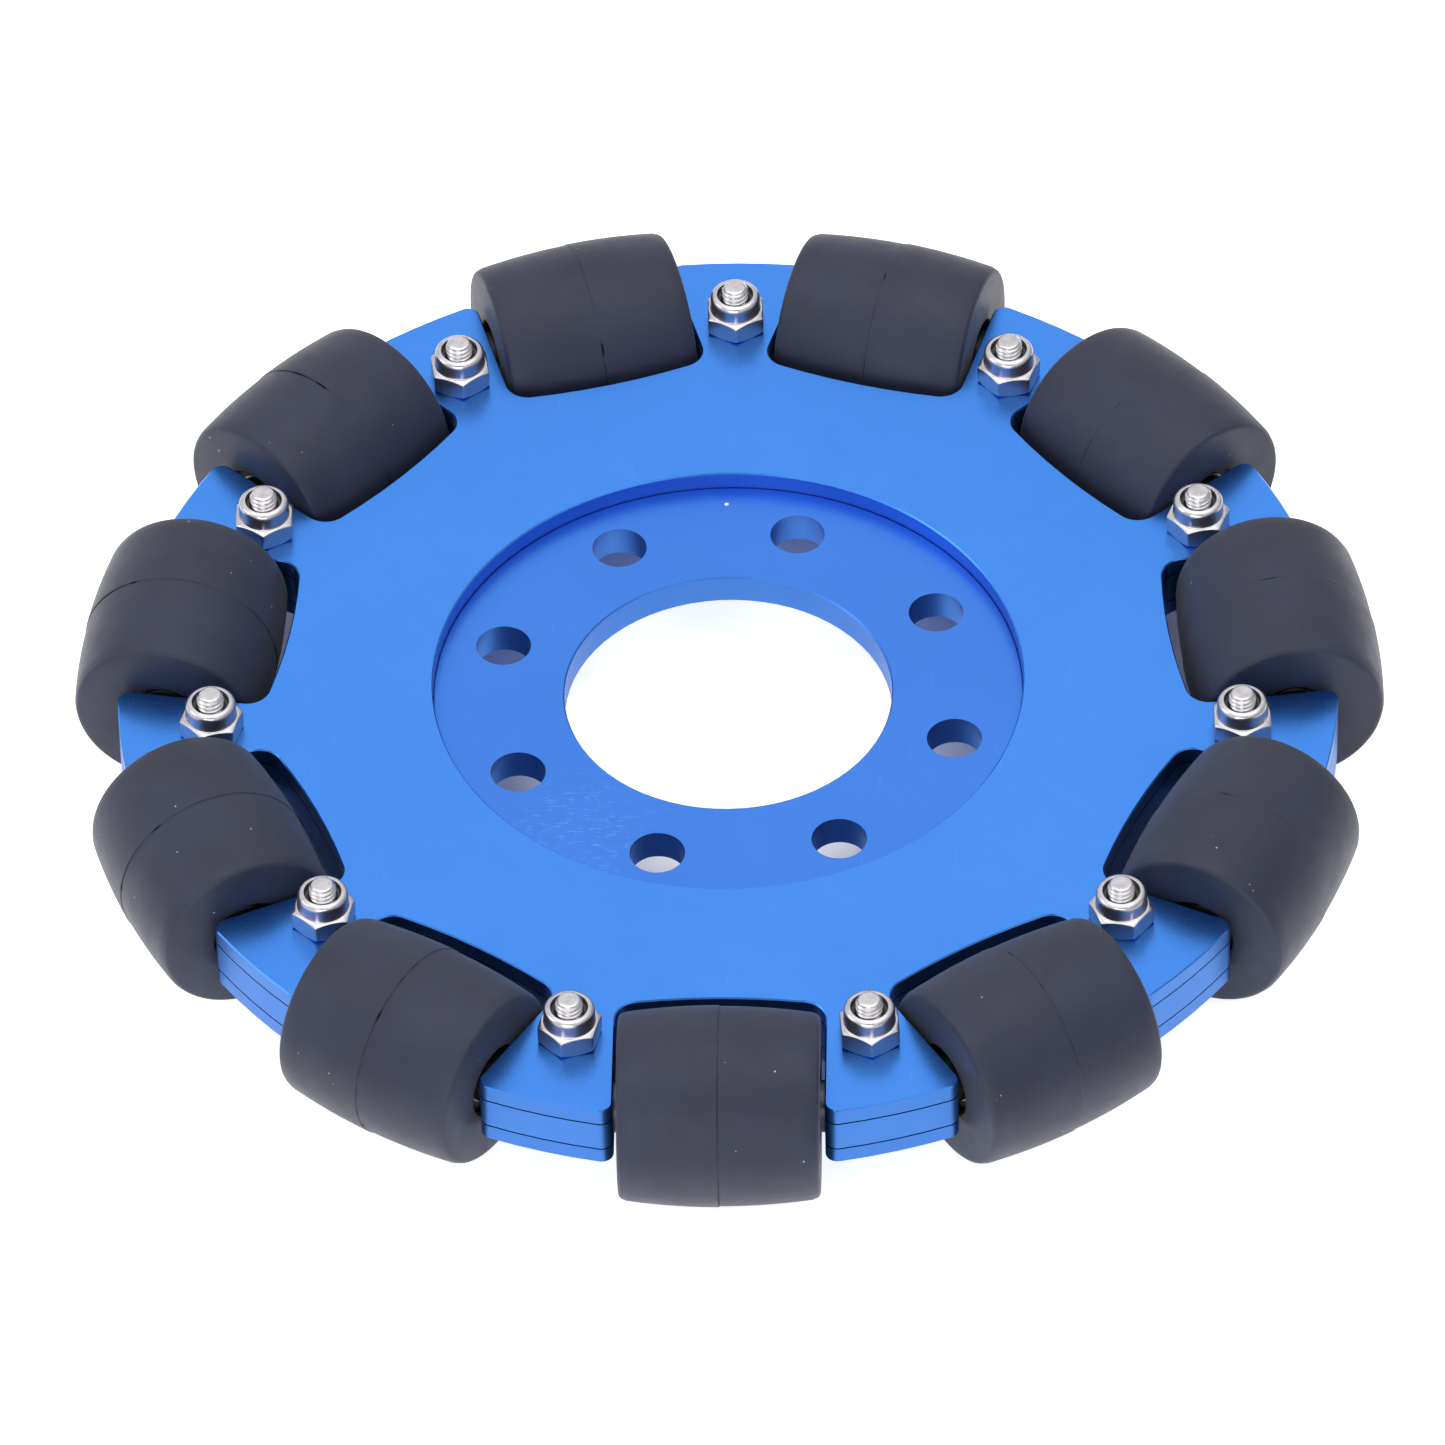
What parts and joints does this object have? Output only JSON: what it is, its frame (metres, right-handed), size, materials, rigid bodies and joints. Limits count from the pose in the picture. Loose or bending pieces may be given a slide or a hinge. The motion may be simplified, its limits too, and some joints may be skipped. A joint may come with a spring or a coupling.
{
  "type": "omni wheel",
  "caption": "Single-row omni wheel: three clamped blue plates with a large centre bore, holding free-spinning rubber barrel rollers set tangentially around the rim.",
  "frame": {"origin": "centre of the wheel, on the centre bore's axis, at half the thickness of the middle plate", "axes": "+Z along the wheel's axle towards the lock nuts; one roller is centred on -Y and one lock nut on +Y"},
  "size_m": [0.2, 0.199, 0.03],
  "materials": {
    "plate_top": "blue anodised, satin",
    "plate_middle": "blue anodised, satin",
    "plate_bottom": "blue anodised, satin",
    "screw_steel": "stainless, rolled thread",
    "nut_steel": "bright nickel plate",
    "nylon": "dark nylon",
    "pin_steel": "ground",
    "washer_steel": "zinc plated",
    "bearing_steel": "ground and polished",
    "seal_rubber": "moulded nitrile",
    "rubber_tyre": "moulded, matt",
    "core_plastic": "moulded"
  },
  "bodies": {
    "frame": {"top_plate": "plate_top", "middle_plate": "plate_middle", "bottom_plate": "plate_bottom", "clamp_screws": "screw_steel", "lock_nuts": "nut_steel", "nut_inserts": "nylon", "roller_axles": "pin_steel", "axle_washers": "washer_steel", "bearing_inner_rings": "bearing_steel", "inner_spacers": "washer_steel"},
    "roller_01": {"roller_01_tyre": "rubber_tyre", "roller_01_core": "core_plastic", "roller_01_bearings": "bearing_steel", "roller_01_seals": "seal_rubber"},
    "roller_02": {"roller_02_tyre": "rubber_tyre", "roller_02_core": "core_plastic", "roller_02_bearings": "bearing_steel", "roller_02_seals": "seal_rubber"},
    "roller_03": {"roller_03_tyre": "rubber_tyre", "roller_03_core": "core_plastic", "roller_03_bearings": "bearing_steel", "roller_03_seals": "seal_rubber"},
    "roller_04": {"roller_04_tyre": "rubber_tyre", "roller_04_core": "core_plastic", "roller_04_bearings": "bearing_steel", "roller_04_seals": "seal_rubber"},
    "roller_05": {"roller_05_tyre": "rubber_tyre", "roller_05_core": "core_plastic", "roller_05_bearings": "bearing_steel", "roller_05_seals": "seal_rubber"},
    "roller_06": {"roller_06_tyre": "rubber_tyre", "roller_06_core": "core_plastic", "roller_06_bearings": "bearing_steel", "roller_06_seals": "seal_rubber"},
    "roller_07": {"roller_07_tyre": "rubber_tyre", "roller_07_core": "core_plastic", "roller_07_bearings": "bearing_steel", "roller_07_seals": "seal_rubber"},
    "roller_08": {"roller_08_tyre": "rubber_tyre", "roller_08_core": "core_plastic", "roller_08_bearings": "bearing_steel", "roller_08_seals": "seal_rubber"},
    "roller_09": {"roller_09_tyre": "rubber_tyre", "roller_09_core": "core_plastic", "roller_09_bearings": "bearing_steel", "roller_09_seals": "seal_rubber"},
    "roller_10": {"roller_10_tyre": "rubber_tyre", "roller_10_core": "core_plastic", "roller_10_bearings": "bearing_steel", "roller_10_seals": "seal_rubber"},
    "roller_11": {"roller_11_tyre": "rubber_tyre", "roller_11_core": "core_plastic", "roller_11_bearings": "bearing_steel", "roller_11_seals": "seal_rubber"}
  },
  "joints": [
    {"name": "roller_01_spin", "type": "hinge", "parent": "frame", "child": "roller_01", "pos_m": [0, -0.085, 0], "axis": [1, 0, 0], "continuous": true},
    {"name": "roller_02_spin", "type": "hinge", "parent": "frame", "child": "roller_02", "pos_m": [0.04595, -0.07151, 0], "axis": [0.8413, 0.5406, 0], "continuous": true},
    {"name": "roller_03_spin", "type": "hinge", "parent": "frame", "child": "roller_03", "pos_m": [0.07732, -0.03531, 0], "axis": [0.4154, 0.9096, 0], "continuous": true},
    {"name": "roller_04_spin", "type": "hinge", "parent": "frame", "child": "roller_04", "pos_m": [0.08413, 0.0121, 0], "axis": [-0.1423, 0.9898, 0], "continuous": true},
    {"name": "roller_05_spin", "type": "hinge", "parent": "frame", "child": "roller_05", "pos_m": [0.06424, 0.05566, 0], "axis": [-0.6549, 0.7557, 0], "continuous": true},
    {"name": "roller_06_spin", "type": "hinge", "parent": "frame", "child": "roller_06", "pos_m": [0.02395, 0.08156, 0], "axis": [-0.9595, 0.2817, 0], "continuous": true},
    {"name": "roller_07_spin", "type": "hinge", "parent": "frame", "child": "roller_07", "pos_m": [-0.02395, 0.08156, 0], "axis": [-0.9595, -0.2817, 0], "continuous": true},
    {"name": "roller_08_spin", "type": "hinge", "parent": "frame", "child": "roller_08", "pos_m": [-0.06424, 0.05566, 0], "axis": [-0.6549, -0.7557, 0], "continuous": true},
    {"name": "roller_09_spin", "type": "hinge", "parent": "frame", "child": "roller_09", "pos_m": [-0.08413, 0.0121, 0], "axis": [-0.1423, -0.9898, 0], "continuous": true},
    {"name": "roller_10_spin", "type": "hinge", "parent": "frame", "child": "roller_10", "pos_m": [-0.07732, -0.03531, 0], "axis": [0.4154, -0.9096, 0], "continuous": true},
    {"name": "roller_11_spin", "type": "hinge", "parent": "frame", "child": "roller_11", "pos_m": [-0.04595, -0.07151, 0], "axis": [0.8413, -0.5406, 0], "continuous": true}
  ]
}
